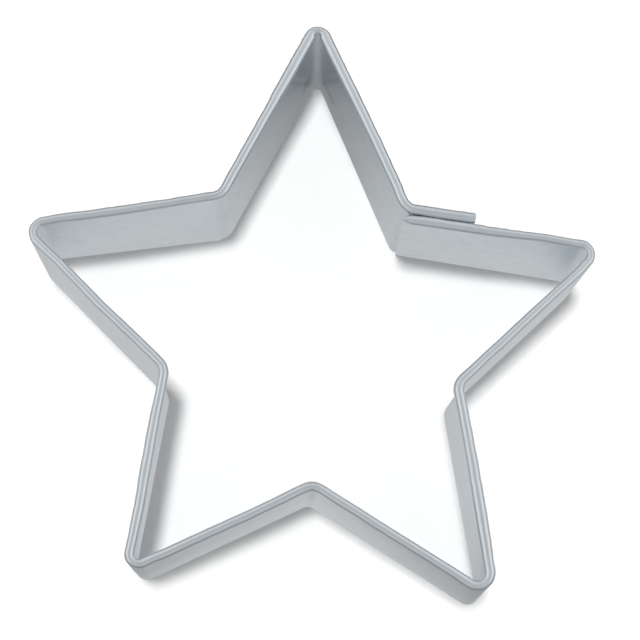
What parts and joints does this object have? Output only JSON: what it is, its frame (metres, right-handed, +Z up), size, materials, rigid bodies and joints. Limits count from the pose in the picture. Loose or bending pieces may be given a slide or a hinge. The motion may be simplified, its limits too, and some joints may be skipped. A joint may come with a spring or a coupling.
{
  "type": "cookie cutter",
  "caption": "Star-shaped cookie cutter: one thin strip of tinplate bent to a star, top edge rolled to a round bead, bottom edge plain for cutting, ends lapped and spot welded.",
  "frame": {"origin": "on the table, under the middle of the cutter's bounding box, level with the cutting edge", "axes": "+Z up from the cutting edge to the rolled bead, +Y along the star's top arm, +X to the right seen from above, the side with the lapped ends"},
  "size_m": [0.083, 0.0842, 0.0226],
  "materials": {
    "tinplate": "satin tinplate, cool grey, with fine rolling lines and slight handling marks",
    "weld": "matte fused steel"
  },
  "bodies": {
    "root": {"star_band": "tinplate", "spot_weld": "weld"}
  },
  "joints": []
}
